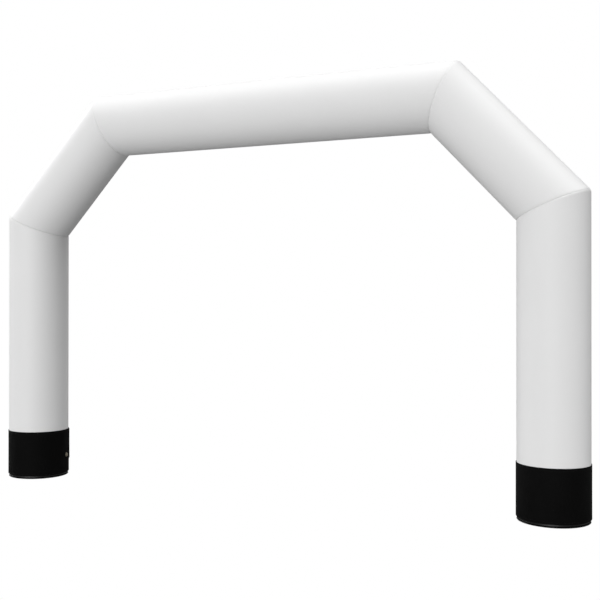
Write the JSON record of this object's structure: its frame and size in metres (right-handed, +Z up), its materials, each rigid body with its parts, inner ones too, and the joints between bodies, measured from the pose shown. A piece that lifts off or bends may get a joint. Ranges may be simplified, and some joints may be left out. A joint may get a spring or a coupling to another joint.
{
  "type": "inflatable arch",
  "caption": "Free-standing air-filled entrance arch of white cloth tubes with angled shoulders, mitred seams and black cuffed feet, for people to walk or run through.",
  "frame": {"origin": "on the ground, midway between the two feet", "axes": "+Z up, +X along the span from the left foot to the right foot, +Y through the arch, away from the side that people come in by"},
  "size_m": [6.012, 0.627, 3.983],
  "materials": {
    "tube_cloth": "white coated polyester, blown up taut and smooth, with a soft satin sheen",
    "cuff_cloth": "black heavy woven polyester with a matt coating and turned, stitched hems",
    "base_cloth": "black heavy coated ground cloth, matt, with a rolled edge",
    "valve_plastic": "moulded beige-grey plastic, matt"
  },
  "bodies": {
    "root": {"leg_left": "tube_cloth", "leg_right": "tube_cloth", "shoulder_left": "tube_cloth", "shoulder_right": "tube_cloth", "crossbeam": "tube_cloth", "cuff_left": "cuff_cloth", "cuff_right": "cuff_cloth", "base_left": "base_cloth", "base_right": "base_cloth", "valve_flap": "cuff_cloth", "valve": "valve_plastic"}
  },
  "joints": []
}
